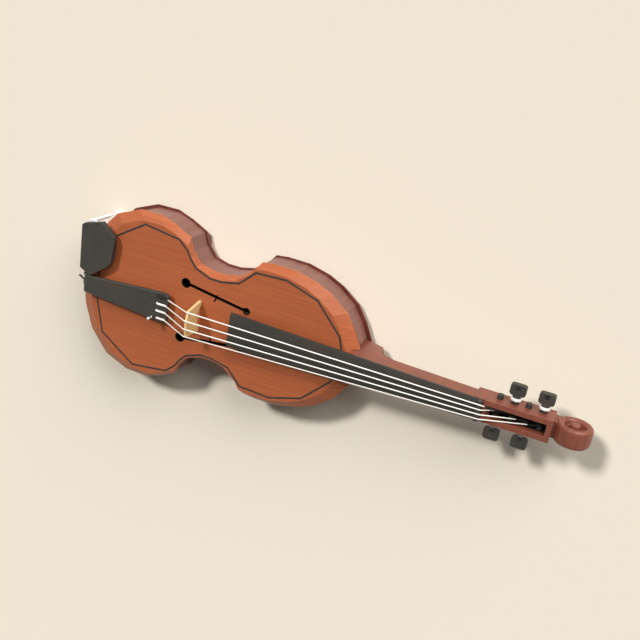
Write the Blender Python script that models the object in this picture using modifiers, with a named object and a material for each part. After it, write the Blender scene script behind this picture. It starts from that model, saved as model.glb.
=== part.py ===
"""A viola, built as a maker builds one: plates, ribs, blocks, linings, neck, pegs, strings and fittings.

The viola lies on its back. +X runs from the tail to the scroll, +Y to the bass side, and +Z up out of the
belly. The origin is the middle of the body's length, on the flat of the back. Lengths below are millimetres.
"""

import math

import bmesh
import bpy
from mathutils import Matrix, Vector

MM = 0.001

# Body.
RIB_HEIGHT = 39.0
ARCH = 11.0  # from a plate's glued rim to its flat crown
EDGE = 2.0  # upright band round a plate's edge
PLATE = 3.6  # thickness of both plates at the crown
FLAT_SCALE = 0.915  # the crown is the outline drawn in by this
RIB_SCALE = 0.972  # the plates overhang the ribs by the rest
HOLLOW_RIM = 0.935  # the plates are hollowed inside this
HOLLOW_TOP = 0.88
WAIST = slice(6, 16)  # the points of half of the outline, below, between the two bouts
RIB_WAIST = 2.2  # there the ribs are drawn in evenly by this, because scaling would shift their corners
HOLLOW_WAIST_RIM = 7.0
HOLLOW_WAIST_TOP = 10.0
RIB_WALL = 1.6
LINING_WIDTH = 2.0
LINING_HEIGHT = 6.0
GAP = 0.3  # between pieces that touch

Z_BACK_RIM = ARCH
Z_BELLY_RIM = ARCH + RIB_HEIGHT
Z_BELLY = Z_BELLY_RIM + ARCH
Z_RIB_LOW = Z_BACK_RIM + GAP
Z_RIB_HIGH = Z_BELLY_RIM - GAP

# Half of the outline, from the tail to the neck: x and half width of each corner of the facets.
HALF_OUTLINE = [
    (-203.0, 26.0), (-200.5, 39.0), (-188.0, 71.0), (-161.5, 101.0), (-128.0, 114.5), (-96.0, 115.0),
    (-74.0, 107.5), (-51.0, 96.5), (-45.5, 81.0), (-33.0, 66.5), (-13.0, 61.5), (5.0, 61.5),
    (24.5, 66.0), (44.5, 81.0), (52.0, 91.5), (69.0, 93.5), (99.0, 93.0), (128.0, 86.0),
    (149.0, 76.5), (173.0, 59.0), (187.5, 39.0), (198.5, 17.5), (203.0, 9.0),
]
# Corners of the crowns that lie further out or in than scaled: the lower corner, and two in the waist.
BELLY_CROWN_PLACES = {7: (-48.9, 88.3), 9: (-33.0, 64.2)}
BACK_CROWN_PLACES = {7: (-48.9, 88.3), 8: (-46.0, 74.5), 9: (-35.2, 62.3)}
# Places of the two corners along half of the ribs, which starts with a point on the centre line.
LOWER_CORNER = 8
UPPER_CORNER = 15
RIB_END = 21.91
BLOCK_REACH = 0.85  # of a facet's length, on either side of a corner
RIB_JOINT = 0.008  # of a facet's length, left open where two ribs meet

HALF_PURFLING = [
    (-179.0, 19.5), (-166.0, 67.5), (-114.0, 101.0), (-61.5, 93.8), (-47.5, 81.5), (-42.9, 73.2),
    (-33.9, 62.8), (-12.2, 54.7), (5.0, 54.9), (28.0, 59.8), (49.0, 80.0), (91.5, 82.0),
    (136.0, 68.0), (172.0, 31.0), (178.0, 14.0),
]
PURFLING_WIDTH = 2.0
BACK_PURFLING_IN = 4.5  # further in than in the belly
PURFLING_DEPTH = 1.2
PURFLING_PROUD = 0.5

# F-holes: centre of each round eye, the straight slot between them, and the nick across it.
EYE_LOW = (-46.0, 38.2)
EYE_HIGH = (43.8, 25.0)
EYE_LOW_RADIUS = 6.9
EYE_HIGH_RADIUS = 5.4
SLOT_OUTER = 2.6  # from the line between the eyes
SLOT_INNER = 2.0
NICK = [(-3.9, 24.6), (-1.5, 24.2), (2.2, 34.8), (-0.2, 35.2)]

BLOCK_INNER = 176.0  # both end blocks reach in to this x
LOWER_BLOCK_HALF = 24.5
UPPER_BLOCK_HALF = 22.0

# Strings and what carries them.
STRING_NAMES = "cgda"
STRING_SHARES = (1.0, 1 / 3, -1 / 3, -1.0)
STRING_RADIUS = 0.75
STRING_END_RADIUS = 1.4
BRIDGE_FOOT_X = -22.0
BRIDGE_TOP_X = -18.3
BRIDGE_THICK = 3.8
BRIDGE_THIN = 2.8  # at its top
BRIDGE_BEND_X = BRIDGE_TOP_X - BRIDGE_THIN / 2 - GAP  # the strings bend at the top's tail edge
BRIDGE_SPREAD = 16.6  # half, to the outer strings
BRIDGE_HALF = 17.6  # at its top
BRIDGE_FOOT_HALF = 21.0
NUT_X = 356.5
NUT_LENGTH = 6.0
NUT_HALF = 13.8
NUT_SPREAD = 8.85
TAIL_SPREAD = 14.8
OUTER_HEIGHT = 38.9  # string above the belly at the bridge
INNER_HEIGHT = 41.4
NUT_HEIGHT = 18.95

BOARD_START = 29.0
BOARD_END = NUT_X - NUT_LENGTH / 2 - GAP
BOARD_WIDE = 23.0
BOARD_NARROW = 13.5
BOARD_UNDER = Z_BELLY + 10.8
BOARD_SIDE = 3.2
BOARD_CROWN = 1.4

NECK_TOP = BOARD_UNDER - GAP
NECK_START = 226.0
NECK_HALF = 17.1
NECK_SIDE_LOW = 47.5  # the neck's sides are upright down to here
NECK_BOTTOM = 44.0
HEEL_BACK = 190.3
HEEL_HALF = 17.8
TENON_LENGTH = 7.0
TENON_HALF = 13.0
SHOULDER = 348.0  # the pegbox reaches back under the nut to here
BOX_START = NUT_X + NUT_LENGTH / 2 + GAP
BOX_END = 441.0
BOX_HALF = 14.1
BOX_TOP = Z_BELLY + 12.0
BOX_BOTTOM = Z_BELLY - 20.0
CAVITY_HALF = 7.5

# x of each peg, the side of its head (+1 bass, -1 treble), and where its winding starts and runs to.
PEGS = [(393.4, 1, 0.6, 1), (375.8, -1, 1.5, -1), (409.4, -1, 0.0, -1), (427.0, 1, -1.0, 1)]
PEG_Z = Z_BELLY - 4.5
PEG_THICK = 4.6
PEG_THIN = 3.5
PEG_TIP = -20.0
PEG_SIDES = 20
COLLAR_START = 18.3
COLLAR_END = 21.8
COLLAR_RADIUS = 6.5
COLLAR_BORE = 4.9
HEAD_START = COLLAR_END + GAP
HEAD_END = 38.9
HEAD_HALF = 9.5
HEAD_THICK = 7.5
EYE_SHIFT = 5.0  # of the round eye in each peg's head, always to the bass side

WINDING_TURNS = 3
WINDING_PITCH = 1.95
WINDING_POINTS = 24
WINDING_RADIUS = 4.3 + GAP + STRING_RADIUS

SCROLL_X = 464.7
SCROLL_Z = Z_BELLY - 4.5
SCROLL_RADIUS = 21.5
SCROLL_HALF = 12.0
THROAT_HALF = 10.3
THROAT_TOP = Z_BELLY + 2.5

TAIL_START = -191.4
TAIL_SHOULDER = -74.5
TAIL_END = -62.0
TAIL_TOP = Z_BELLY + 13.0
TAIL_THICK = 6.0
TUNER_X = -81.0
TUNER_Y = -14.3
PIVOT_X = -70.5
PIVOT_Z = 64.6

SADDLE_START = -203.2
SADDLE_EDGE = -194.5  # from here the saddle slopes down to the tail
SADDLE_END = -190.0
SADDLE_HALF = 16.0
SADDLE_TOP = Z_BELLY + 2.0
BUTTON_X = -180.0
BUTTON_Z = Z_BACK_RIM + RIB_HEIGHT / 2
GUT_RADIUS = 1.6

CHIN_UNDER = Z_BELLY + 5.5
CHIN_THICK = 7.5
CHIN_OUTLINE = [
    (-200.8, 80.0), (-197.0, 83.2), (-170.5, 90.4), (-150.6, 74.0), (-149.8, 66.0),
    (-153.0, 38.0), (-158.5, 31.5), (-183.0, 13.4), (-195.0, 18.3), (-199.8, 21.0),
]
CHIN_CORK = [(-182.0, 22.0), (-183.0, 33.0), (-171.0, 62.0), (-164.0, 69.0), (-153.0, 64.0), (-160.0, 40.0),
             (-176.0, 21.0)]
BRACKET = [(-200.0, 70.0), (-195.5, 66.0), (-180.0, 70.0), (-176.0, 80.0), (-187.0, 87.4), (-195.6, 87.0)]
FOOT = [(-201.5, 70.5), (-198.0, 68.8), (-185.5, 68.2), (-178.5, 77.5), (-189.0, 87.8), (-195.8, 87.4)]
FOOT_CORK = [(-190.0, 71.5), (-187.2, 69.2), (-180.2, 77.2), (-183.0, 79.7)]
BARRELS = [(-192.5, 84.6), (-198.6, 72.0)]
BARREL_RADIUS = 2.5
BARREL_BORE = 1.4
BARREL_LOW = 23.0
BARREL_HIGH = 61.0
STUD_RADIUS = 1.1

COLOURS = {
    "varnish": ((0.45, 0.122, 0.05), 0.38, 0.0),
    "rib_maple": ((0.29, 0.12, 0.095), 0.3, 0.0),
    "back_maple": ((0.26, 0.06, 0.03), 0.36, 0.0),
    "neck_maple": ((0.36, 0.1, 0.055), 0.4, 0.0),
    "inner_spruce": ((0.6, 0.42, 0.24), 0.6, 0.0),
    "ebony": ((0.055, 0.05, 0.046), 0.42, 0.0),
    "bridge_maple": ((0.62, 0.4, 0.2), 0.5, 0.0),
    "string": ((0.86, 0.83, 0.76), 0.35, 0.0),
    "collar_white": ((0.88, 0.87, 0.84), 0.35, 0.0),
    "chrome": ((0.8, 0.8, 0.82), 0.15, 1.0),
    "cork": ((0.55, 0.36, 0.2), 0.85, 0.0),
    "gut": ((0.05, 0.05, 0.05), 0.5, 0.0),
}


def clear_scene():
    for obj in list(bpy.data.objects):
        bpy.data.objects.remove(obj, do_unlink=True)


def make_collection(name):
    collection = bpy.data.collections.new(name)
    bpy.context.scene.collection.children.link(collection)
    return collection


def make_materials():
    made = {}
    for name, (colour, roughness, metallic) in COLOURS.items():
        material = bpy.data.materials.new(name)
        material.use_nodes = True
        shader = material.node_tree.nodes["Principled BSDF"]
        shader.inputs["Base Color"].default_value = (*colour, 1.0)
        shader.inputs["Roughness"].default_value = roughness
        shader.inputs["Metallic"].default_value = metallic
        made[name] = material
    return made


def add_part(name, data, material):
    obj = bpy.data.objects.new(name, data)
    parts.objects.link(obj)
    if not obj.data.materials:
        obj.data.materials.append(materials[material])
    return obj


def as_cutter(obj):
    """Move an object to the cutters, where it is drawn as wire and left out of the model."""
    parts.objects.unlink(obj)
    cutters.objects.link(obj)
    obj.hide_render = True
    obj.display_type = "WIRE"
    return obj


def boolean(obj, other, operation="DIFFERENCE"):
    modifier = obj.modifiers.new(f"{operation.lower()}_{other.name}", "BOOLEAN")
    modifier.operation = operation
    modifier.object = as_cutter(other)


def bevel(obj, width, segments=1, angle=30.0):
    modifier = obj.modifiers.new("bevel", "BEVEL")
    modifier.width = width * MM
    modifier.segments = segments
    modifier.limit_method = "ANGLE"
    modifier.angle_limit = math.radians(angle)


def to_mesh(obj):
    """Replace a curve, or a mesh with modifiers, by the welded mesh that it makes, its place in the mesh."""
    bpy.context.view_layer.update()
    evaluated = obj.evaluated_get(bpy.context.evaluated_depsgraph_get())
    mesh = bpy.data.meshes.new_from_object(evaluated)
    mesh.transform(obj.matrix_world)
    bm = bmesh.new()
    bm.from_mesh(mesh)
    bmesh.ops.remove_doubles(bm, verts=bm.verts, dist=0.005 * MM)
    bmesh.ops.recalc_face_normals(bm, faces=bm.faces)
    bm.to_mesh(mesh)
    bm.free()
    name = obj.name
    bpy.data.objects.remove(obj, do_unlink=True)
    made = bpy.data.objects.new(name, mesh)
    parts.objects.link(made)
    return made


def set_origin(obj, point):
    """Move a piece's origin to a point, such as one on its joint's axis, and leave the piece in place."""
    origin = Vector(point) * MM
    obj.data.transform(Matrix.Translation(-origin))
    obj.location = origin


def prism(name, loops, low, high, material, plane="XY"):
    """A flat piece: closed outlines, filled, from low to high along the plane's third axis."""
    curve = bpy.data.curves.new(name, "CURVE")
    curve.dimensions = "2D"
    curve.fill_mode = "BOTH"
    curve.extrude = (high - low) / 2 * MM
    for loop in loops:
        spline = curve.splines.new("POLY")
        spline.points.add(len(loop) - 1)
        spline.use_cyclic_u = True
        for point, (across, along_side) in zip(spline.points, loop):
            point.co = (across * MM, along_side * MM, 0.0, 1.0)
    obj = add_part(name, curve, material)
    middle = (low + high) / 2 * MM
    if plane == "XY":
        obj.location = (0.0, 0.0, middle)
    elif plane == "XZ":
        obj.rotation_euler = (math.pi / 2, 0.0, 0.0)
        obj.location = (0.0, middle, 0.0)
    else:
        obj.rotation_euler = (math.pi / 2, 0.0, math.pi / 2)
        obj.location = (middle, 0.0, 0.0)
    return to_mesh(obj)


def reshape(obj, change):
    """Move every vertex by a rule that takes and gives a place in millimetres."""
    for vertex in obj.data.vertices:
        vertex.co = Vector(change(*(vertex.co / MM))) * MM


def lofted(name, levels, material):
    """Outlines of equal point counts, each with its height, joined from the lowest to the highest."""
    mesh = bpy.data.meshes.new(name)
    bm = bmesh.new()
    rings = [[bm.verts.new((x * MM, y * MM, height * MM)) for x, y in outline] for height, outline in levels]
    for lower, upper in zip(rings, rings[1:]):
        for i in range(len(lower)):
            bm.faces.new((lower[i - 1], lower[i], upper[i], upper[i - 1]))
    bm.faces.new(rings[0])
    bm.faces.new(rings[-1])
    bmesh.ops.recalc_face_normals(bm, faces=bm.faces)
    bm.to_mesh(mesh)
    bm.free()
    return add_part(name, mesh, material)


def box(name, low, high, material):
    """A box between two corners."""
    mesh = bpy.data.meshes.new(name)
    bm = bmesh.new()
    bmesh.ops.create_cube(bm, size=1.0)
    size = [(b - a) * MM for a, b in zip(low, high)]
    centre = [(a + b) / 2 * MM for a, b in zip(low, high)]
    bmesh.ops.scale(bm, vec=size, verts=bm.verts)
    bmesh.ops.translate(bm, vec=centre, verts=bm.verts)
    bm.to_mesh(mesh)
    bm.free()
    return add_part(name, mesh, material)


def rod(name, start, end, radius, material, sides=PEG_SIDES, radius_end=None):
    """A straight round rod or cone from one point to another."""
    start = Vector(start) * MM
    end = Vector(end) * MM
    last = radius if radius_end is None else radius_end
    mesh = bpy.data.meshes.new(name)
    bm = bmesh.new()
    bmesh.ops.create_cone(
        bm, cap_ends=True, segments=sides, radius1=radius * MM, radius2=last * MM, depth=(end - start).length
    )
    turn = (end - start).to_track_quat("Z", "Y").to_matrix().to_4x4()
    bmesh.ops.transform(bm, matrix=Matrix.Translation((start + end) / 2) @ turn, verts=bm.verts)
    bm.to_mesh(mesh)
    bm.free()
    return add_part(name, mesh, material)


def turned(name, profile, material, steps=24, closed=False):
    """A turned piece: radius and height pairs, top to bottom, spun round Z. A closed profile is a ring."""
    mesh = bpy.data.meshes.new(name)
    bm = bmesh.new()
    verts = [bm.verts.new((radius * MM, 0.0, height * MM)) for radius, height in profile]
    for first, second in zip(verts, verts[1:]):
        bm.edges.new((first, second))
    if closed:
        bm.edges.new((verts[-1], verts[0]))
    bm.to_mesh(mesh)
    bm.free()
    obj = add_part(name, mesh, material)
    screw = obj.modifiers.new("turn", "SCREW")
    screw.steps = steps
    screw.render_steps = steps
    screw.use_merge_vertices = True
    screw.merge_threshold = 0.00001
    return obj


def tube(name, route, radius, material, scales=None):
    """A round cord along a route. Scales, where given, are each point's share of the radius."""
    curve = bpy.data.curves.new(name, "CURVE")
    curve.dimensions = "3D"
    curve.bevel_depth = radius * MM
    curve.bevel_resolution = 1
    curve.use_fill_caps = True
    spline = curve.splines.new("POLY")
    spline.points.add(len(route) - 1)
    for index, (point, place) in enumerate(zip(spline.points, route)):
        point.co = (*(Vector(place) * MM), 1.0)
        if scales:
            point.radius = scales[index]
    return to_mesh(add_part(name, curve, material))


def mirrored(points):
    return [(x, -y) for x, y in points]


def closed_loop(half):
    return half + mirrored(half)[::-1]


def inset(loop, distance):
    """A closed outline drawn in by a distance, its corners mitred."""
    moved = []
    for before, here, after in zip(loop[-1:] + loop[:-1], loop, loop[1:] + loop[:1]):
        first = (Vector(here) - Vector(before)).normalized()
        second = (Vector(after) - Vector(here)).normalized()
        first_normal = Vector((first.y, -first.x))
        second_normal = Vector((second.y, -second.x))
        mitre = (first_normal + second_normal) / (1.0 + first_normal.dot(second_normal))
        moved.append(tuple(Vector(here) + mitre * distance))
    return moved


def drawn_in(scale, waist_depth):
    """The body's outline, scaled about the middle but drawn in evenly between the bouts."""
    half = [(x * scale, y * scale) for x, y in HALF_OUTLINE]
    half[WAIST] = inset(closed_loop(HALF_OUTLINE), waist_depth)[WAIST]
    return closed_loop(half)


def crown_outline(places):
    """The flat of a plate, inside its sloping edge."""
    half = [(x * FLAT_SCALE, y * FLAT_SCALE) for x, y in HALF_OUTLINE]
    for corner, place in places.items():
        half[corner] = place
    return closed_loop(half)


def half_run(depth):
    """Half of the ribs' line, a depth inside their outer face, from the centre line of the tail."""
    half = inset(drawn_in(RIB_SCALE, RIB_WAIST), depth)[: len(HALF_OUTLINE)]
    return [(half[0][0], 0.0)] + half


def along(points, place):
    """The point at a fractional place in a list of points."""
    first = min(int(place), len(points) - 2)
    return tuple(Vector(points[first]).lerp(Vector(points[first + 1]), place - first))


def stretch(points, start, end):
    between = [points[i] for i in range(math.floor(start) + 1, math.ceil(end))]
    return [along(points, start)] + between + [along(points, end)]


def strip(outer, inner, start, end):
    """The outline of a bent strip between two lines, from one place to another."""
    return stretch(outer, start, end) + stretch(inner, start, end)[::-1]


def both_sides(name, outline, low, high, material):
    """The same flat piece on the bass side and, mirrored, on the treble side."""
    prism(f"{name}_bass", [outline], low, high, material)
    prism(f"{name}_treble", [mirrored(outline)], low, high, material)


def purfling_ring(depth, spare):
    loop = closed_loop(HALF_PURFLING)
    return [inset(loop, depth - spare), inset(loop, depth + PURFLING_WIDTH + spare)]


def block_outlines():
    """The lower block, the upper block and the two corner blocks of the bass side, seen from above."""
    line = half_run(RIB_WALL + GAP)
    tail = line[0][0]
    lower = [(tail, -LOWER_BLOCK_HALF), (tail, LOWER_BLOCK_HALF),
             (-BLOCK_INNER, LOWER_BLOCK_HALF), (-BLOCK_INNER, -LOWER_BLOCK_HALF)]
    facet = UPPER_CORNER + 6
    ends = []
    for half_width in (UPPER_BLOCK_HALF, HEEL_HALF + 2 * GAP):
        share = (line[facet][1] - half_width) / (line[facet][1] - line[facet + 1][1])
        ends.append(along(line, facet + share))
    half = [(BLOCK_INNER, UPPER_BLOCK_HALF)] + ends
    corners = []
    for corner in (LOWER_CORNER, UPPER_CORNER):
        corners.append([along(line, corner - BLOCK_REACH), line[corner], along(line, corner + BLOCK_REACH)])
    return lower, closed_loop(half), corners


def hollow(name, rim, ceiling):
    """The space inside a plate. It stops short of the two end blocks, which are glued to the plate."""
    start = rim - math.copysign(1.0, ceiling - rim)
    step = rim + math.copysign(0.4, ceiling - rim)
    edge = drawn_in(HOLLOW_RIM, HOLLOW_WAIST_RIM)
    levels = sorted([(start, edge), (step, edge), (ceiling, drawn_in(HOLLOW_TOP, HOLLOW_WAIST_TOP))])
    space = lofted(name, levels, "inner_spruce")
    low = min(start, ceiling) - 1.0
    high = max(start, ceiling) + 1.0
    lower, upper, _ = block_outlines()
    boolean(space, prism(name + "_lower_pad", [lower], low, high, "inner_spruce"))
    boolean(space, prism(name + "_upper_pad", [upper], low, high, "inner_spruce"))
    return space


def cut_f_hole(belly, side):
    """One f-hole: two round eyes, a straight slot and a nick, on the side +1 (bass) or -1 (treble)."""
    name = "f_hole_bass" if side > 0 else "f_hole_treble"
    low = Z_BELLY - 2 * PLATE
    high = Z_BELLY + PLATE
    first = Vector((EYE_LOW[0], EYE_LOW[1] * side))
    last = Vector((EYE_HIGH[0], EYE_HIGH[1] * side))
    for label, eye, radius in (("low", first, EYE_LOW_RADIUS), ("high", last, EYE_HIGH_RADIUS)):
        boolean(belly, rod(f"{name}_eye_{label}", (*eye, low), (*eye, high), radius, "varnish"))
    across = (last - first).orthogonal().normalized()
    if across.y * side < 0:
        across = -across
    outer = across * SLOT_OUTER
    inner = across * SLOT_INNER
    slot = [tuple(first + outer), tuple(last + outer), tuple(last - inner), tuple(first - inner)]
    boolean(belly, prism(name + "_slot", [slot], low - 0.4, high + 0.4, "varnish"))
    nick = [(x, y * side) for x, y in NICK]
    boolean(belly, prism(name + "_nick", [nick], low - 0.8, high + 0.8, "varnish"))


def build_belly():
    rim = closed_loop(HALF_OUTLINE)
    levels = [(Z_BELLY_RIM, rim), (Z_BELLY_RIM + EDGE, rim), (Z_BELLY, crown_outline(BELLY_CROWN_PLACES))]
    belly = lofted("belly", levels, "varnish")
    boolean(belly, hollow("belly_hollow", Z_BELLY_RIM, Z_BELLY - PLATE))
    low = Z_BELLY - PURFLING_DEPTH - GAP
    groove = prism("belly_groove", purfling_ring(0.0, GAP), low, Z_BELLY + 1.0, "ebony")
    boolean(belly, groove)
    for side in (1, -1):
        cut_f_hole(belly, side)
    saddle_low = (SADDLE_START - 2.0, -SADDLE_HALF - GAP, Z_BELLY_RIM - 1.0)
    saddle_high = (SADDLE_END + GAP, SADDLE_HALF + GAP, Z_BELLY + 1.0)
    boolean(belly, box("saddle_notch", saddle_low, saddle_high, "varnish"))
    neck_low = (HEEL_BACK - GAP, -HEEL_HALF - GAP, Z_BELLY_RIM - 1.0)
    neck_high = (HEEL_BACK + 20.0, HEEL_HALF + GAP, Z_BELLY + 1.0)
    boolean(belly, box("neck_notch", neck_low, neck_high, "varnish"))
    strip_low = Z_BELLY - PURFLING_DEPTH
    prism("belly_purfling", purfling_ring(0.0, 0.0), strip_low, Z_BELLY + PURFLING_PROUD, "ebony")


def build_back():
    rim = closed_loop(HALF_OUTLINE)
    levels = [(0.0, crown_outline(BACK_CROWN_PLACES)), (Z_BACK_RIM - EDGE, rim), (Z_BACK_RIM, rim)]
    back = lofted("back_plate", levels, "back_maple")
    boolean(back, hollow("back_hollow", Z_BACK_RIM, PLATE))
    button = closed_loop([(196.0, 13.0), (207.0, 13.0), (213.0, 10.5), (216.5, 5.0)])
    boolean(back, prism("back_button", [button], Z_BACK_RIM - 4.0, Z_BACK_RIM, "back_maple"), "UNION")
    loops = purfling_ring(BACK_PURFLING_IN, GAP)
    groove = prism("back_groove", loops, -1.0, PURFLING_DEPTH + 2 * GAP, "ebony")
    boolean(back, groove)
    prism("back_purfling", purfling_ring(BACK_PURFLING_IN, 0.0), GAP, PURFLING_DEPTH + GAP, "ebony")


def build_ribs():
    outer = half_run(0.0)
    inner = half_run(RIB_WALL)
    runs = {
        "rib_lower": (RIB_JOINT, LOWER_CORNER - RIB_JOINT),
        "rib_waist": (LOWER_CORNER + RIB_JOINT, UPPER_CORNER - RIB_JOINT),
        "rib_upper": (UPPER_CORNER + RIB_JOINT, RIB_END),
    }
    for name, (start, end) in runs.items():
        both_sides(name, strip(outer, inner, start, end), Z_RIB_LOW, Z_RIB_HIGH, "rib_maple")


def build_linings():
    """Strips of willow along both edges of the ribs, between the blocks."""
    outer = half_run(RIB_WALL + GAP)
    inner = half_run(RIB_WALL + GAP + LINING_WIDTH)
    free = 1.0 - BLOCK_REACH - 0.05
    runs = {
        "lower": (1.1, LOWER_CORNER - 1 + free),
        "waist": (LOWER_CORNER + 1 - free, UPPER_CORNER - 1 + free),
        "upper": (UPPER_CORNER + 1 - free, RIB_END - 0.29),
    }
    levels = {
        "belly": (Z_RIB_HIGH - LINING_HEIGHT, Z_RIB_HIGH),
        "back": (Z_RIB_LOW, Z_RIB_LOW + LINING_HEIGHT),
    }
    for level, (low, high) in levels.items():
        for bout, (start, end) in runs.items():
            both_sides(f"lining_{level}_{bout}", strip(outer, inner, start, end), low, high, "inner_spruce")


def build_blocks():
    lower, upper, corners = block_outlines()
    lower_block = prism("lower_block", [lower], Z_RIB_LOW, Z_RIB_HIGH, "inner_spruce")
    upper_block = prism("upper_block", [upper], Z_RIB_LOW, Z_RIB_HIGH, "inner_spruce")
    pocket_low = (HEEL_BACK - TENON_LENGTH - GAP, -TENON_HALF - GAP, 0.0)
    pocket_high = (HEEL_BACK + 5.0, TENON_HALF + GAP, Z_BELLY)
    boolean(upper_block, box("tenon_pocket", pocket_low, pocket_high, "inner_spruce"))
    for label, outline in zip(("lower", "upper"), corners):
        both_sides(f"corner_block_{label}", outline, Z_RIB_LOW, Z_RIB_HIGH, "inner_spruce")
    return lower_block


def build_bass_bar_and_post():
    ceiling = Z_BELLY - PLATE - GAP
    side = [(-110.0, ceiling), (110.0, ceiling), (110.0, 54.5), (60.0, 47.5), (-60.0, 47.5), (-110.0, 54.5)]
    prism("bass_bar", [side], 13.7, 19.2, "inner_spruce", plane="XZ")
    rod("sound_post", (-28.0, -17.5, PLATE + GAP), (-28.0, -17.5, ceiling), 3.0, "inner_spruce", sides=12)


def build_neck():
    """Neck, heel, pegbox and scroll, carved from one piece of maple."""
    heel_side = [(HEEL_BACK, NECK_TOP), (238.0, NECK_TOP), (238.0, NECK_BOTTOM), (229.0, 41.0), (221.0, 34.0),
                 (217.0, 22.0), (216.0, Z_RIB_LOW), (HEEL_BACK, Z_RIB_LOW)]
    neck = prism("neck", [heel_side], -1.0, 1.0, "neck_maple", plane="XZ")

    def heel_width(x, y, z):
        board = BOARD_WIDE + (BOARD_NARROW - BOARD_WIDE) * (x - BOARD_START) / (BOARD_END - BOARD_START)
        foot = 13.0 + (board - 13.0) * min(1.0, (z - Z_RIB_LOW) / (NECK_TOP - Z_RIB_LOW - 20.0))
        half = HEEL_HALF if x < HEEL_BACK + 1.0 else foot
        return x, y * half, z

    reshape(neck, heel_width)
    under = 0.62 * NECK_HALF
    section = [(-NECK_HALF, NECK_TOP), (-NECK_HALF, NECK_SIDE_LOW), (-under, NECK_BOTTOM),
               (under, NECK_BOTTOM), (NECK_HALF, NECK_SIDE_LOW), (NECK_HALF, NECK_TOP)]
    stick = prism("neck_stick", [section], NECK_START, SHOULDER + 2.0, "neck_maple", plane="YZ")
    reshape(stick, lambda x, y, z: (x, y * (BOARD_NARROW / NECK_HALF if x > SHOULDER else 1.0), z))
    boolean(neck, stick, "UNION")
    tenon_low = (HEEL_BACK - TENON_LENGTH, -TENON_HALF, Z_RIB_LOW + GAP)
    tenon_high = (HEEL_BACK + 2.0, TENON_HALF, Z_RIB_HIGH - GAP)
    boolean(neck, box("tenon", tenon_low, tenon_high, "neck_maple"), "UNION")
    box_side = [(BOX_START, BOX_TOP), (BOX_END, BOX_TOP), (BOX_END, BOX_BOTTOM), (SHOULDER, BOX_BOTTOM),
                (SHOULDER, NECK_TOP), (BOX_START, NECK_TOP)]
    pegbox = prism("pegbox", [box_side], -BOX_HALF, BOX_HALF, "neck_maple", plane="XZ")
    boolean(neck, pegbox, "UNION")
    throat_low = (BOX_END - 3.0, -THROAT_HALF, BOX_BOTTOM + 1.0)
    throat_high = (SCROLL_X - 12.0, THROAT_HALF, THROAT_TOP)
    boolean(neck, box("throat", throat_low, throat_high, "neck_maple"), "UNION")
    boolean(neck, build_scroll(), "UNION")

    cavity_side = [(364.0, 75.0), (364.0, 72.6), (368.5, 64.0), (368.5, 47.0), (435.0, 47.0), (435.0, 75.0)]
    cavity = prism("peg_cavity", [cavity_side], -CAVITY_HALF, CAVITY_HALF, "neck_maple", plane="XZ")
    boolean(neck, cavity)
    for name, (x, side, _, _) in zip(STRING_NAMES, PEGS):
        start = (x, side * (PEG_TIP - 2.0), PEG_Z)
        end = (x, side * (COLLAR_START + 1.0), PEG_Z)
        bore = rod(f"peg_bore_{name}", start, end, PEG_THIN + GAP, "neck_maple", radius_end=PEG_THICK + GAP)
        boolean(neck, bore)


def build_scroll():
    """The turned end of the neck: a drum with round rims, and a hollow with a boss in each side."""
    upper = [(0.0, 1.05), (4.6, 1.03), (6.0, 0.93), (6.5, 0.42), (11.4, 0.4), (12.3, 0.5), (12.6, 0.65),
             (13.2, 0.82), (14.6, 0.94), (17.2, 1.0), (19.3, 0.97), (20.8, 0.83), (21.4, 0.62),
             (SCROLL_RADIUS, 0.38)]
    profile = [(radius, share * SCROLL_HALF) for radius, share in upper]
    profile += [(radius, -height) for radius, height in profile[::-1]]
    scroll = turned("scroll", profile, "neck_maple", steps=36)
    scroll.rotation_euler = (math.pi / 2, 0.0, 0.0)
    scroll.location = Vector((SCROLL_X, 0.0, SCROLL_Z)) * MM
    return scroll


def build_fingerboard_and_nut():
    top = BOARD_UNDER + BOARD_SIDE
    section = [(-BOARD_WIDE, BOARD_UNDER), (-BOARD_WIDE, top), (-0.55 * BOARD_WIDE, top + 0.75 * BOARD_CROWN),
               (0.0, top + BOARD_CROWN), (0.55 * BOARD_WIDE, top + 0.75 * BOARD_CROWN), (BOARD_WIDE, top),
               (BOARD_WIDE, BOARD_UNDER)]
    board = prism("fingerboard", [section], BOARD_START, BOARD_END, "ebony", plane="YZ")
    middle = (BOARD_START + BOARD_END) / 2
    reshape(board, lambda x, y, z: (x, y * (BOARD_NARROW / BOARD_WIDE if x > middle else 1.0), z))
    nut_top = Z_BELLY + NUT_HEIGHT - STRING_RADIUS - GAP
    nut_low = (NUT_X - NUT_LENGTH / 2, -NUT_HALF, BOARD_UNDER)
    nut_high = (NUT_X + NUT_LENGTH / 2, NUT_HALF, nut_top)
    nut = box("nut", nut_low, nut_high, "ebony")
    bevel(nut, 1.2, segments=2)


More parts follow.
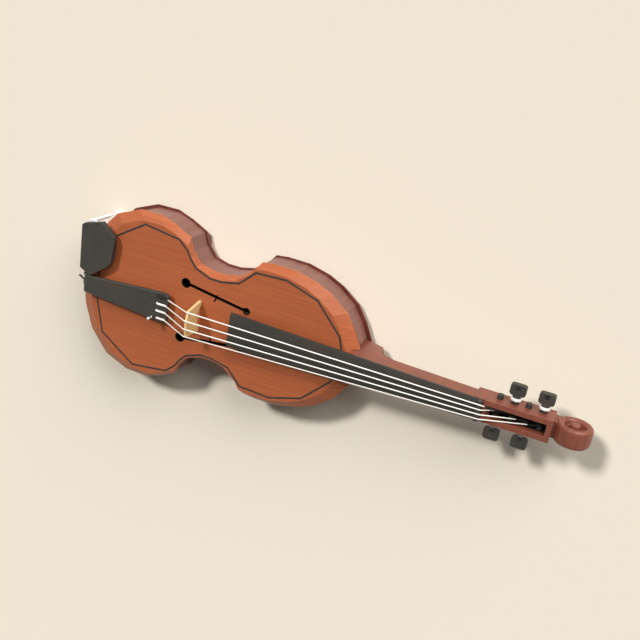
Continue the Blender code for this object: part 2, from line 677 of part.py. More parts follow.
def peg_template(label, eye_shift):
    """One peg, its axis on Z and its head up, as a mesh that both pegs of a side share."""
    start = (0.0, 0.0, PEG_TIP)
    end = (0.0, 0.0, HEAD_START + 1.0)
    peg = rod(f"peg_{label}", start, end, PEG_THIN, "ebony", radius_end=PEG_THICK)
    half = [(4.0, HEAD_START), (4.0, HEAD_START + 2.2), (HEAD_HALF - 2.2, HEAD_START + 2.6),
            (HEAD_HALF, HEAD_START + 4.8), (HEAD_HALF, HEAD_END - 1.8), (HEAD_HALF - 1.8, HEAD_END)]
    outline = half + [(-x, z) for x, z in half[::-1]]
    head = prism(f"peg_head_{label}", [outline], -HEAD_THICK / 2, HEAD_THICK / 2, "ebony", plane="XZ")
    bevel(head, 0.8)
    boolean(peg, head, "UNION")
    eye_z = (HEAD_START + HEAD_END) / 2 + eye_shift
    depth = HEAD_THICK / 2 + 1.0
    eye = rod(f"peg_eye_{label}", (0.0, -depth, eye_z), (0.0, depth, eye_z), 2.8, "ebony", sides=12)
    boolean(peg, eye, "UNION")
    template = to_mesh(peg)
    mesh = template.data
    bpy.data.objects.remove(template, do_unlink=True)
    return mesh


def build_pegs():
    meshes = {1: peg_template("bass", EYE_SHIFT), -1: peg_template("treble", -EYE_SHIFT)}
    ring = [(COLLAR_RADIUS - 0.6, COLLAR_END), (COLLAR_RADIUS, COLLAR_END - 0.6),
            (COLLAR_RADIUS, COLLAR_START + 0.6), (COLLAR_RADIUS - 0.6, COLLAR_START),
            (COLLAR_BORE, COLLAR_START), (COLLAR_BORE, COLLAR_END)]
    for name, (x, side, _, _) in zip(STRING_NAMES, PEGS):
        peg = add_part(f"peg_{name}", meshes[side], "ebony")
        collar = turned(f"peg_collar_{name}", ring, "collar_white", steps=PEG_SIDES, closed=True)
        for piece in (peg, collar):
            piece.rotation_euler = (-side * math.pi / 2, 0.0, 0.0)
            piece.location = Vector((x, 0.0, PEG_Z)) * MM


def winding(peg_x, nut_place, start_y, direction):
    """Turns of string round a peg, from the point where the string's straight run touches it."""
    angle = 0.0
    for _ in range(20):
        touch_x = peg_x + WINDING_RADIUS * math.sin(angle)
        touch_z = PEG_Z + WINDING_RADIUS * math.cos(angle)
        angle = math.atan2(nut_place[2] - touch_z, touch_x - nut_place[0])
    places = []
    for step in range(WINDING_TURNS * WINDING_POINTS + 1):
        turn = step / WINDING_POINTS
        theta = angle + turn * 2 * math.pi
        x = peg_x + WINDING_RADIUS * math.sin(theta)
        z = PEG_Z + WINDING_RADIUS * math.cos(theta)
        places.append((x, start_y + direction * WINDING_PITCH * turn, z))
    return places


def least_gap(places):
    """The least space between a winding's turns, measured between points at least half a turn apart."""
    apart = WINDING_POINTS // 2
    gaps = [(Vector(a) - Vector(b)).length for i, a in enumerate(places) for b in places[i + apart:]]
    return min(gaps) - 2 * STRING_RADIUS


def build_strings():
    thick = STRING_END_RADIUS / STRING_RADIUS
    rest_z = TAIL_TOP + GAP + STRING_END_RADIUS
    for name, share, (peg_x, _, start_y, direction) in zip(STRING_NAMES, STRING_SHARES, PEGS):
        tail_y = TAIL_SPREAD * share
        height = OUTER_HEIGHT if abs(share) == 1.0 else INNER_HEIGHT
        over_bridge = Vector((BRIDGE_BEND_X, BRIDGE_SPREAD * share, Z_BELLY + height))
        over_nut = (NUT_X + NUT_LENGTH / 2, NUT_SPREAD * share, Z_BELLY + NUT_HEIGHT)
        if name == "a":
            route = [(-75.4, tail_y, rest_z)]
        else:
            route = [(-77.6, tail_y, 71.0), (-77.6, tail_y, 73.4), (-76.9, tail_y, 75.0),
                     (-75.5, tail_y, rest_z)]
        leave = Vector((-64.0, tail_y, rest_z))
        thinned = leave + (over_bridge - leave).normalized() * 2.5
        turns = winding(peg_x, over_nut, start_y, direction)
        route += [tuple(leave), tuple(thinned), tuple(over_bridge), over_nut] + turns
        thick_points = len(route) - len(turns) - 3
        scales = [thick] * thick_points + [1.0] * (len(route) - thick_points)
        tube(f"string_{name}", route, STRING_RADIUS, "string", scales)
        print(f"string_{name}: least gap between its turns {least_gap(turns):.2f} mm")


def build_bridge():
    """Two feet with an arch between them, and a curved top that is thinner and leans towards the neck."""
    string_clear = STRING_RADIUS + GAP
    low = Z_BELLY + GAP
    curve = (INNER_HEIGHT - OUTER_HEIGHT) / (BRIDGE_SPREAD ** 2 - (BRIDGE_SPREAD / 3) ** 2)
    crest = Z_BELLY + INNER_HEIGHT + curve * (BRIDGE_SPREAD / 3) ** 2 - string_clear
    widths = [BRIDGE_HALF * step / 3 for step in (3, 2, 1, 0, -1, -2, -3)]
    top = [(y, crest - curve * y * y) for y in widths]
    half_arch = [(-14.6, low), (-12.0, low + 5.0), (-7.0, low + 7.5)]
    arch = half_arch + [(-y, z) for y, z in half_arch[::-1]]
    foot = BRIDGE_FOOT_HALF
    outline = [(-foot, low)] + arch + [(foot, low), (foot, low + 3.0)] + top + [(-foot, low + 3.0)]
    half = BRIDGE_THICK / 2
    bridge = prism("bridge", [outline], -half, half, "bridge_maple", plane="YZ")

    def lean(x, y, z):
        share = (z - low) / (crest - low)
        middle = BRIDGE_FOOT_X + (BRIDGE_TOP_X - BRIDGE_FOOT_X) * share
        thick = BRIDGE_THICK + (BRIDGE_THIN - BRIDGE_THICK) * share
        return middle + x * thick / BRIDGE_THICK, y, z

    reshape(bridge, lean)


def build_tailpiece():
    half = [(TAIL_START, 11.6), (TAIL_SHOULDER, 20.3), (-65.0, 19.6), (TAIL_END, 17.0)]
    under = TAIL_TOP - TAIL_THICK
    tailpiece = prism("tailpiece", [closed_loop(half)], under, TAIL_TOP, "ebony")
    bevel(tailpiece, 0.8)
    low = under - 3.0
    high = TAIL_TOP + 3.0
    for name, share in list(zip(STRING_NAMES, STRING_SHARES))[:3]:
        y = TAIL_SPREAD * share
        hole = rod(f"string_hole_{name}", (-77.6, y, low), (-77.6, y, high), 2.1, "ebony", sides=14)
        boolean(tailpiece, hole)
    pocket = box("gut_pocket", (-188.4, -8.6, under - 1.0), (-180.0, 8.6, under + 4.6), "ebony")
    boolean(tailpiece, pocket)
    start = (-195.0, 4.63, 70.6)
    end = (-185.0, 2.24, 70.6)
    boolean(tailpiece, rod("gut_hole", start, end, GUT_RADIUS + GAP, "ebony", sides=12))
    start = (TUNER_X, TUNER_Y, low)
    end = (TUNER_X, TUNER_Y, high)
    boolean(tailpiece, rod("tuner_hole", start, end, 2.05, "ebony", sides=16))
    slot_low = (-78.1, TUNER_Y - 1.0, low - 0.5)
    slot_high = (-75.5, TUNER_Y + 1.0, high + 0.5)
    boolean(tailpiece, box("lever_slot", slot_low, slot_high, "ebony"))


def build_fine_tuner():
    """The A string's tuner: a body through the tailpiece, a lever under it, and a screw with a ball head."""
    under = TAIL_TOP - TAIL_THICK
    axis = (TUNER_X, TUNER_Y)
    body = rod("tuner_body", (*axis, TAIL_TOP + GAP), (*axis, 81.0), 2.5, "chrome", sides=16, radius_end=1.8)
    post = rod("tuner_post", (*axis, under - 1.0), (*axis, TAIL_TOP + 1.0), 1.75, "chrome", sides=16)
    boolean(body, post, "UNION")
    plate = box("tuner_plate", (-83.5, TUNER_Y - 3.4, 66.5), (-68.5, TUNER_Y + 3.4, under - GAP), "chrome")
    boolean(body, plate, "UNION")
    for label, low, high in (("bass", 2.3, 3.4), ("treble", -3.4, -2.3)):
        cheek_low = (-73.0, TUNER_Y + low, 62.6)
        cheek_high = (-68.5, TUNER_Y + high, 66.9)
        boolean(body, box(f"tuner_cheek_{label}", cheek_low, cheek_high, "chrome"), "UNION")
    boolean(body, rod("screw_bore", (*axis, 60.0), (*axis, 84.0), 1.2, "chrome", sides=12))
    boolean(body, box("hook_slot", (-78.3, TUNER_Y - 1.1, 66.0), (-75.2, TUNER_Y + 1.1, 68.3), "chrome"))
    pin_start = (PIVOT_X, TUNER_Y - 5.0, PIVOT_Z)
    pin_end = (PIVOT_X, TUNER_Y + 5.0, PIVOT_Z)
    boolean(body, rod("pin_bore", pin_start, pin_end, 1.1, "chrome", sides=12))

    lever = box("tuner_lever", (-83.0, TUNER_Y - 1.3, 63.9), (-69.2, TUNER_Y + 1.3, 65.3), "chrome")
    hook = box("lever_hook", (-77.1, TUNER_Y - 0.7, 65.0), (-75.9, TUNER_Y + 0.7, 77.0), "chrome")
    boolean(lever, hook, "UNION")
    pin_start = (PIVOT_X, TUNER_Y - 3.4, PIVOT_Z)
    pin_end = (PIVOT_X, TUNER_Y + 3.4, PIVOT_Z)
    boolean(lever, rod("lever_pin", pin_start, pin_end, 0.8, "chrome", sides=12), "UNION")
    set_origin(lever, (PIVOT_X, TUNER_Y, PIVOT_Z))

    ball = [(0.0, 88.4), (1.4, 88.0), (2.3, 87.0), (2.6, 86.0), (2.3, 84.9), (1.2, 84.0), (0.9, 83.0),
            (0.9, 65.8), (0.0, 65.6)]
    screw = turned("tuner_screw", ball, "chrome", steps=16)
    screw.location = Vector((TUNER_X, TUNER_Y, 0.0)) * MM


def build_tail_end(lower_block):
    """The saddle, the end button through the lower rib and block, and the gut that holds the tailpiece."""
    side = [(SADDLE_START, Z_BELLY_RIM + GAP), (SADDLE_START, SADDLE_TOP - 10.0),
            (SADDLE_EDGE, SADDLE_TOP), (SADDLE_END, SADDLE_TOP), (SADDLE_END, Z_BELLY_RIM + GAP)]
    prism("saddle", [side], -SADDLE_HALF, SADDLE_HALF, "ebony", plane="XZ")
    profile = [(0.0, 34.0), (4.6, 33.6), (7.0, 32.2), (7.6, 30.6), (7.0, 29.0), (3.2, 28.5), (3.0, 20.2),
               (6.0, 19.6), (6.0, 17.8), (3.6, 17.5), (3.2, 1.0), (0.0, 0.6)]
    button = turned("end_button", profile, "ebony", steps=20)
    button.rotation_euler = (0.0, -math.pi / 2, 0.0)
    button.location = Vector((BUTTON_X, 0.0, BUTTON_Z)) * MM
    bore_start = (BUTTON_X + 2.0, 0.0, BUTTON_Z)
    bore_end = (BUTTON_X - 20.0, 0.0, BUTTON_Z)
    for piece in [lower_block] + [bpy.data.objects[f"rib_lower_{side}"] for side in ("bass", "treble")]:
        boolean(piece, rod(f"button_bore_{piece.name}", bore_start, bore_end, 3.6 + GAP, "inner_spruce"))
    free_end = [(-203.1, 7.2, 67.8), (-193.2, 4.2, 70.4), (-190.0, 3.4, 70.6), (-185.8, 2.5, 70.6),
                (-183.6, 3.1, 69.4), (-183.4, 4.2, 67.2), (-185.2, 5.1, 65.7)]
    leg = [(-188.0, 5.6, 65.3), (-193.4, 6.1, 65.1), (-195.8, 6.2, 64.5), (-204.9, 6.4, 54.3),
           (-205.2, 6.4, 50.0), (-205.1, 6.2, 44.0), (-204.6, 5.5, 37.0), (-204.3, 5.1, BUTTON_Z),
           (-204.3, 3.61, BUTTON_Z - 3.61), (-204.3, 0.0, BUTTON_Z - 5.1)]
    inner_end = [(-185.0, -5.2, 66.6), (-184.2, -4.8, 70.2)]
    route = free_end + leg + [(x, -y, z) for x, y, z in leg[-2::-1]] + inner_end
    tube("tail_gut", route, GUT_RADIUS, "gut")


def build_chinrest():
    plate = prism("chinrest_plate", [CHIN_OUTLINE], CHIN_UNDER, CHIN_UNDER + CHIN_THICK, "ebony")
    bevel(plate, 1.6, segments=2)
    prism("chinrest_cork", [CHIN_CORK], Z_BELLY + PURFLING_PROUD + GAP, CHIN_UNDER - GAP, "cork")
    bracket = prism("clamp_bracket", [BRACKET], 62.4, CHIN_UNDER - GAP, "chrome")
    foot = prism("clamp_foot", [FOOT], 2.6, 4.9, "chrome")
    prism("clamp_foot_cork", [FOOT_CORK], 5.2, 7.5, "cork")
    for number, place in enumerate(BARRELS, start=1):
        profile = [(BARREL_RADIUS - 0.5, BARREL_HIGH), (BARREL_RADIUS, BARREL_HIGH - 0.5),
                   (BARREL_RADIUS, BARREL_LOW + 0.5), (BARREL_RADIUS - 0.5, BARREL_LOW),
                   (BARREL_BORE, BARREL_LOW), (BARREL_BORE, BARREL_HIGH)]
        barrel = turned(f"clamp_barrel_{number}", profile, "chrome", steps=18, closed=True)
        barrel.location = Vector((*place, 0.0)) * MM
        stud = rod(f"upper_stud_{number}", (*place, 50.0), (*place, 63.6), STUD_RADIUS, "chrome", sides=12)
        boolean(bracket, stud, "UNION")
        stud = rod(f"lower_stud_{number}", (*place, 4.0), (*place, 44.0), STUD_RADIUS, "chrome", sides=12)
        boolean(foot, stud, "UNION")


clear_scene()
parts = make_collection("viola")
cutters = make_collection("cutters")
materials = make_materials()

build_belly()
build_back()
build_ribs()
build_linings()
lower_block_piece = build_blocks()
build_bass_bar_and_post()
build_neck()
build_fingerboard_and_nut()
build_pegs()
build_strings()
build_bridge()
build_tailpiece()
build_fine_tuner()
build_tail_end(lower_block_piece)
build_chinrest()
print(f"{len(parts.objects)} pieces")
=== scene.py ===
# %% [markdown]
# A viola lies on its back on a pale floor. Its plates, ribs, neck, fittings and strings are already solid
# parts, so this lesson is mostly about finishes: how varnished spruce, flamed maple, ebony, bone, metal,
# gut and cork differ, and how each can be built from noise, a few colours and a little bump.
# The solids could be modelled again here, but they already have the right facets, so they stay.

# %% Load the viola
import math
import bmesh
import bpy
from mathutils import Matrix, Vector

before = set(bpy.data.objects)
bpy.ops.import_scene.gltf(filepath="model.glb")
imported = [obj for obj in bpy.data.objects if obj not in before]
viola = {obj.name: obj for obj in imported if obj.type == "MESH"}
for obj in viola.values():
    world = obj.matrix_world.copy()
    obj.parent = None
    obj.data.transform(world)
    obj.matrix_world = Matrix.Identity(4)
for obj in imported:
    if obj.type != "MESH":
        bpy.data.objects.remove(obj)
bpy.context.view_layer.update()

# %% [markdown]
# A camera could be aimed with a constraint, but the photo's viewpoint was measured from the outline and the
# strings, so its place and its three directions are written down. The rows are the picture's right, the
# picture's up, and the direction back to the camera.

# %% Camera
VIEWPOINT = Vector((0.4673, 0.4370, 1.0229))
PICTURE_RIGHT = Vector((0.9124, 0.1640, -0.3750))
PICTURE_UP = Vector((-0.2803, 0.9180, -0.2805))


def square_up(right, up):
    """A camera's turn from two measured directions, made exactly square to each other."""
    back = right.cross(up).normalized()
    level = right.normalized()
    return Matrix((level, back.cross(level), back)).transposed()


lens = bpy.data.cameras.new("photo_camera")
lens.lens = 50
lens.sensor_width = 36
camera = bpy.data.objects.new("photo_camera", lens)
camera.matrix_world = Matrix.Translation(VIEWPOINT) @ square_up(PICTURE_RIGHT, PICTURE_UP).to_4x4()
bpy.context.scene.collection.objects.link(camera)
bpy.context.scene.camera = camera
bpy.context.scene.view_settings.view_transform = "Standard"
print("camera looks along", [round(v, 3) for v in camera.matrix_world.to_3x3() @ Vector((0, 0, -1))])

# %% [markdown]
# Every finish below is a small graph of nodes. Wiring nodes by hand in the editor is quick to learn but slow
# to repeat, so a few helpers do it: one starts a finish, one adds a node with its values, one gives the
# place on the object, stretched so that a pattern runs along the grain.

# %% Helpers for finishes
def start_finish(name, roughness=0.4, metallic=0.0, gloss=0.0, gloss_roughness=0.15, shine=0.5):
    """A new material with its tree and its shader. Values that are the same all over sit on the shader."""
    finish = bpy.data.materials.new(name)
    finish.use_nodes = True
    tree = finish.node_tree
    shader = tree.nodes["Principled BSDF"]
    shader.inputs["Roughness"].default_value = roughness
    shader.inputs["Metallic"].default_value = metallic
    shader.inputs["Specular IOR Level"].default_value = shine
    shader.inputs["Coat Weight"].default_value = gloss
    shader.inputs["Coat Roughness"].default_value = gloss_roughness
    return finish, tree, shader


def add(tree, kind, values=None, **settings):
    """A node of this kind, with its settings and its unlinked inputs filled in."""
    node = tree.nodes.new("ShaderNode" + kind)
    for key, value in settings.items():
        setattr(node, key, value)
    for key, value in (values or {}).items():
        node.inputs[key].default_value = value
    return node


def grain_space(tree, stretch, bookmatched=False):
    """The place on the object, scaled by stretch. Bookmatched halves mirror each other across the centre joint."""
    place = add(tree, "TexCoord").outputs["Object"]
    if bookmatched:
        parts = add(tree, "SeparateXYZ")
        tree.links.new(place, parts.inputs[0])
        aside = add(tree, "Math", operation="ABSOLUTE")
        tree.links.new(parts.outputs["Y"], aside.inputs[0])
        slant = add(tree, "Math", {1: 0.22}, operation="MULTIPLY_ADD")
        tree.links.new(aside.outputs[0], slant.inputs[0])
        tree.links.new(parts.outputs["X"], slant.inputs[2])
        joined = add(tree, "CombineXYZ")
        tree.links.new(slant.outputs[0], joined.inputs["X"])
        tree.links.new(aside.outputs[0], joined.inputs["Y"])
        tree.links.new(parts.outputs["Z"], joined.inputs["Z"])
        place = joined.outputs[0]
    mapping = add(tree, "Mapping", {"Scale": stretch})
    tree.links.new(place, mapping.inputs["Vector"])
    return mapping.outputs[0]


def clouds(tree, place, detail=2.0, twist=0.0):
    """Soft noise of size one in the given space."""
    noise = add(tree, "TexNoise", {"Scale": 1.0, "Detail": detail, "Distortion": twist})
    tree.links.new(place, noise.inputs["Vector"])
    return noise.outputs["Fac"]


def reach(tree, amount, low, high, to_low=0.0, to_high=1.0):
    """Stretches part of a value's range, and clamps what lies outside."""
    node = add(tree, "MapRange", {"From Min": low, "From Max": high, "To Min": to_low, "To Max": to_high})
    tree.links.new(amount, node.inputs["Value"])
    return node.outputs["Result"]


def blend_colours(tree, amount, first, second, mode="MIX"):
    """Mixes two colours, each a value or another node's output, by an amount."""
    node = add(tree, "Mix", data_type="RGBA", blend_type=mode)
    if isinstance(amount, float):
        node.inputs[0].default_value = amount
    else:
        tree.links.new(amount, node.inputs[0])
    for socket, colour in ((6, first), (7, second)):
        if isinstance(colour, tuple):
            node.inputs[socket].default_value = (*colour, 1)
        else:
            tree.links.new(colour, node.inputs[socket])
    return node.outputs[2]


# Finishes below lighten their edges with this mask: partly wear, partly a painted highlight.
def edge_wear_and_highlight(tree, radius, sharpest=0.80):
    """How near a sharp edge is: 0 on a face, 1 on a corner, from how far a rounded normal leaves the true one."""
    rounded = add(tree, "Bevel", {"Radius": radius}, samples=4)
    true = add(tree, "NewGeometry")
    facing = add(tree, "VectorMath", operation="DOT_PRODUCT")
    tree.links.new(rounded.outputs[0], facing.inputs[0])
    tree.links.new(true.outputs["True Normal"], facing.inputs[1])
    return reach(tree, facing.outputs["Value"], 0.97, sharpest)


def relief(tree, shader, height, depth, edge_radius):
    """Bump of a real depth in metres on softly rounded edges."""
    rounded = add(tree, "Bevel", {"Radius": edge_radius}, samples=4)
    bump = add(tree, "Bump", {"Strength": 1.0, "Distance": depth})
    tree.links.new(rounded.outputs[0], bump.inputs["Normal"])
    tree.links.new(height, bump.inputs["Height"])
    tree.links.new(bump.outputs[0], shader.inputs["Normal"])
    tree.links.new(rounded.outputs[0], shader.inputs["Coat Normal"])


def dress(finish, *names):
    """Puts one finish on these nodes, in the place of the plain one they came with."""
    for name in names:
        for slot in viola[name].material_slots:
            slot.material = finish


print("helpers ready")

# %% [markdown]
# The belly is spruce under orange-brown varnish. Spruce has straight narrow year lines along the body, and the
# two halves are split from one wedge, so the lines mirror each other at the joint. Noise stretched along the
# body gives such lines. Varnish lies thicker in some places, and the edges are paler, partly by wear and partly
# as a painted highlight. The walls of the f-holes are coloured dark, and the underside is left bare. Both
# could be separate materials on chosen faces, but a mask made from the faces' direction needs no choosing.

# %% Spruce under varnish
BELLY_TONE = (0.425, 0.116, 0.043)
BELLY_DEEP = (0.355, 0.088, 0.030)
BELLY_EDGE_WEAR_AND_HIGHLIGHT = (0.560, 0.200, 0.090)
F_HOLE_WALL_DARK = (0.085, 0.028, 0.008)
BARE_SPRUCE = (0.50, 0.32, 0.16)
HOLE_REACH = 0.048


def faces_up(tree):
    """How far each face looks up or down the body's depth: 1 up, 0 sideways, -1 down."""
    parts = add(tree, "SeparateXYZ")
    tree.links.new(add(tree, "TexCoord").outputs["Normal"], parts.inputs[0])
    return parts.outputs["Z"]


def distance_from(tree, axis, middle=0.0):
    """The distance from a middle along one axis of the object."""
    parts = add(tree, "SeparateXYZ")
    tree.links.new(add(tree, "TexCoord").outputs["Object"], parts.inputs[0])
    moved = add(tree, "Math", {1: middle}, operation="SUBTRACT")
    tree.links.new(parts.outputs[axis], moved.inputs[0])
    aside = add(tree, "Math", operation="ABSOLUTE")
    tree.links.new(moved.outputs[0], aside.inputs[0])
    return aside.outputs[0]


def both(tree, first, second):
    """1 only where both masks are."""
    node = add(tree, "Math", operation="MULTIPLY")
    tree.links.new(first, node.inputs[0])
    tree.links.new(second, node.inputs[1])
    return node.outputs[0]


def varnished_spruce(name):
    """Narrow year lines, cloudy varnish, and edges paler by wear and by a painted highlight."""
    finish, tree, shader = start_finish(name, gloss=0.08, gloss_roughness=0.3, shine=0.25)
    lines = clouds(tree, grain_space(tree, (9, 760, 60), bookmatched=True), detail=3.0)
    drift = clouds(tree, grain_space(tree, (14, 26, 26)), detail=3.0)
    year = reach(tree, lines, 0.38, 0.62)
    tone = blend_colours(tree, year, BELLY_DEEP, BELLY_TONE)
    tone = blend_colours(tree, reach(tree, drift, 0.35, 0.70, 0.0, 0.35), tone, BELLY_TONE)
    # Paler edges: partly wear, partly a painted highlight.
    tone = blend_colours(tree, edge_wear_and_highlight(tree, 0.0012), tone, BELLY_EDGE_WEAR_AND_HIGHLIGHT)
    upright = reach(tree, distance_from(tree, "Y"), HOLE_REACH, HOLE_REACH + 0.0005, 1.0, 0.0)
    steepness = add(tree, "Math", operation="ABSOLUTE")
    tree.links.new(faces_up(tree), steepness.inputs[0])
    walls = both(tree, upright, reach(tree, steepness.outputs[0], 0.3, 0.4, 1.0, 0.0))
    tone = blend_colours(tree, walls, tone, F_HOLE_WALL_DARK)
    tone = blend_colours(tree, reach(tree, faces_up(tree), -0.3, -0.5), tone, BARE_SPRUCE)
    tree.links.new(tone, shader.inputs["Base Color"])
    tree.links.new(reach(tree, drift, 0.3, 0.7, 0.38, 0.48), shader.inputs["Roughness"])
    relief(tree, shader, year, 0.00002, 0.0005)
    return finish


dress(varnished_spruce("spruce_varnish"), "belly")
print("belly dressed in", viola["belly"].material_slots[0].material.name)

# %% [markdown]
# Ribs, back and neck are maple. Maple's grain is fine, and its flames are soft bands across the grain where
# the fibres wave. They run up the ribs from edge to edge, and across the back, slanting away from its joint.
# One helper makes all three, because only the direction of the bands and the colour differ. The ribs' colour
# holds a painted grey sheen, and the back's dark colour is painted shade. Inside, the pegbox is blackened
# below a clean strip at its top, as many makers do, by a mask of places; this black is also painted shade in
# the deep cavity.

# %% Flamed maple under varnish
RIB_BANDS = (150, 150, 5)
BACK_BANDS = (130, 7, 7)
NECK_BANDS = (150, 12, 12)
# Black inside the pegbox: the maker's black, and painted shade in the deep cavity.
PEGBOX_BLACK_AND_PAINTED_SHADE = (0.012, 0.010, 0.008)
CAVITY_HALF = 0.0076
CAVITY_MIDDLE = 0.3995
CAVITY_REACH = 0.0357
CAVITY_FLOOR = 0.0469
CAVITY_BLACK_TOP = 0.0630


def inside_pegbox(tree):
    """1 on the cavity's walls and floor, below the clean strip at its top."""
    parts = add(tree, "SeparateXYZ")
    tree.links.new(add(tree, "TexCoord").outputs["Object"], parts.inputs[0])
    across = reach(tree, distance_from(tree, "Y"), CAVITY_HALF, CAVITY_HALF + 0.0001, 1.0, 0.0)
    along = reach(tree, distance_from(tree, "X", CAVITY_MIDDLE), CAVITY_REACH, CAVITY_REACH + 0.0001, 1.0, 0.0)
    above = reach(tree, parts.outputs["Z"], CAVITY_FLOOR - 0.0001, CAVITY_FLOOR)
    below = reach(tree, parts.outputs["Z"], CAVITY_BLACK_TOP, CAVITY_BLACK_TOP + 0.0008, 1.0, 0.0)
    return both(tree, both(tree, across, along), both(tree, above, below))


def flamed_maple(name, tone, deep, pale, bands, fibres, bookmatched=False, gloss=0.12, pegbox=False):
    """Flame bands, fine fibres across them, cloudy varnish, and edges paler by wear and by a painted highlight. A
    neck's pegbox is blackened, which is also painted shade.
    """
    finish, tree, shader = start_finish(name, gloss=gloss, gloss_roughness=0.3, shine=0.35)
    flames = clouds(tree, grain_space(tree, bands, bookmatched), detail=1.5, twist=0.3)
    fibre = clouds(tree, grain_space(tree, fibres), detail=3.0)
    drift = clouds(tree, grain_space(tree, (18, 22, 30)), detail=2.0)
    colour = blend_colours(tree, reach(tree, flames, 0.36, 0.64), deep, tone)
    colour = blend_colours(tree, reach(tree, fibre, 0.40, 0.75, 0.0, 0.35), colour, deep)
    colour = blend_colours(tree, reach(tree, drift, 0.40, 0.75, 0.0, 0.40), colour, tone)
    # Paler edges: partly wear, partly a painted highlight.
    colour = blend_colours(tree, edge_wear_and_highlight(tree, 0.0012), colour, pale)
    # Black in the pegbox: the maker's black, and painted shade in the cavity.
    if pegbox:
        colour = blend_colours(tree, inside_pegbox(tree), colour, PEGBOX_BLACK_AND_PAINTED_SHADE)
    tree.links.new(colour, shader.inputs["Base Color"])
    tree.links.new(reach(tree, flames, 0.3, 0.7, 0.36, 0.46), shader.inputs["Roughness"])
    relief(tree, shader, fibre, 0.00002, 0.0005)
    return finish


RIBS = [name for name in viola if name.startswith("rib_")]
# The ribs' tones carry a painted grey sheen, and the back's dark tones are painted shade.
rib_finish = flamed_maple("rib_maple_painted_sheen", (0.228, 0.099, 0.076), (0.184, 0.074, 0.055),
                          (0.340, 0.175, 0.132), RIB_BANDS, (9, 9, 800))
back_finish = flamed_maple("back_maple_painted_shade", (0.145, 0.032, 0.017), (0.093, 0.018, 0.010),
                           (0.230, 0.070, 0.042), BACK_BANDS, (9, 700, 60), bookmatched=True)
neck_finish = flamed_maple("neck_maple_varnish", (0.214, 0.060, 0.034), (0.168, 0.044, 0.025),
                           (0.290, 0.100, 0.062), NECK_BANDS, (9, 600, 600), pegbox=True)
dress(rib_finish, *RIBS)
dress(back_finish, "back_plate")
dress(neck_finish, "neck")
print("ribs in maple:", len(RIBS))

# %% [markdown]
# Linings, blocks, bass bar and sound post are bare spruce, never varnished, and darkened only a little by
# age. They hide inside, but show through the f-holes and when the viola is taken apart. The bass bar lies
# right under the eyes of one f-hole, and its very dark tones are painted shade there.

# %% Bare spruce inside
def bare_spruce(name, pale=BARE_SPRUCE, line=(0.36, 0.21, 0.10), stain=(0.34, 0.19, 0.09)):
    """Pale wood with darker year lines and a dry surface."""
    finish, tree, shader = start_finish(name, roughness=0.7)
    year = reach(tree, clouds(tree, grain_space(tree, (8, 500, 500)), detail=3.0), 0.40, 0.60)
    drift = clouds(tree, grain_space(tree, (30, 40, 40)), detail=2.0)
    tone = blend_colours(tree, year, line, pale)
    tone = blend_colours(tree, reach(tree, drift, 0.4, 0.7, 0.0, 0.4), tone, stain)
    tree.links.new(tone, shader.inputs["Base Color"])
    relief(tree, shader, year, 0.00005, 0.0004)
    return finish


INSIDE = [name for name in viola if name.startswith(("lining_", "corner_block_"))]
INSIDE += ["upper_block", "lower_block", "sound_post"]
dress(bare_spruce("inside_spruce"), *INSIDE)
# The bass bar's very dark tones are painted shade under the f-hole's eyes.
dress(bare_spruce("bass_bar_painted_shade", (0.10, 0.05, 0.02), (0.07, 0.035, 0.014), (0.06, 0.03, 0.012)), "bass_bar")
print("bare spruce pieces:", len(INSIDE) + 1)

# %% [markdown]
# Fingerboard, nut, saddle, pegs, tailpiece, chinrest and button are ebony: almost black, with short fine
# pores along the grain and a satin polish. Edges are paler, partly by wear and partly as a painted highlight.
# A second, plainer finish is the dyed wood of the purfling that is let into the plates.

# %% Ebony and dyed purfling
PEG_HEIGHT = 0.0565
HEAD_DEPTH = 0.0039
HEAD_START = 0.0238


def ebony(name, pores, tone=(0.037, 0.036, 0.031), polish=0.42, worn_and_highlit=(0.110, 0.105, 0.095), eyes=False):
    """Dark wood with short pores, a faint brown drift, and edges paler by wear and by a painted highlight. Pegs
    also have black round eyes.
    """
    finish, tree, shader = start_finish(name, shine=0.35)
    pore = clouds(tree, grain_space(tree, pores), detail=3.0)
    drift = clouds(tree, grain_space(tree, (25, 40, 40)), detail=2.0)
    deep = tuple(0.62 * v for v in tone)
    brown = (tone[0] * 1.35, tone[1] * 1.15, tone[2] * 0.95)
    colour = blend_colours(tree, reach(tree, pore, 0.36, 0.56), deep, tone)
    colour = blend_colours(tree, reach(tree, drift, 0.45, 0.75, 0.0, 0.6), colour, brown)
    # Paler edges: partly wear, partly a painted highlight.
    colour = blend_colours(tree, edge_wear_and_highlight(tree, 0.0009), colour, worn_and_highlit)
    if eyes:
        proud = reach(tree, distance_from(tree, "Z", PEG_HEIGHT), HEAD_DEPTH, HEAD_DEPTH + 0.0001)
        in_head = reach(tree, distance_from(tree, "Y"), HEAD_START, HEAD_START + 0.0001)
        colour = blend_colours(tree, both(tree, proud, in_head), colour, (0.004, 0.004, 0.004))
    tree.links.new(colour, shader.inputs["Base Color"])
    tree.links.new(reach(tree, pore, 0.3, 0.7, polish + 0.10, polish), shader.inputs["Roughness"])
    relief(tree, shader, pore, 0.00003, 0.0003)
    return finish


PEGS = ["peg_c", "peg_g", "peg_d", "peg_a"]
dress(ebony("ebony_along_body", (60, 1300, 1300)), "tailpiece", "chinrest_plate", "end_button")
dress(ebony("ebony_of_fingerboard", (60, 1300, 1300), tone=(0.030, 0.028, 0.024), worn_and_highlit=(0.050, 0.048, 0.042)),
      "fingerboard")
dress(ebony("ebony_across_body", (1300, 60, 1300)), "nut", "saddle")
dress(ebony("ebony_of_pegs", (1300, 60, 1300), eyes=True), *PEGS)
dress(ebony("dyed_purfling", (200, 200, 200), tone=(0.030, 0.018, 0.014), polish=0.5),
      "belly_purfling", "back_purfling")
print("pegs in ebony:", len(PEGS))
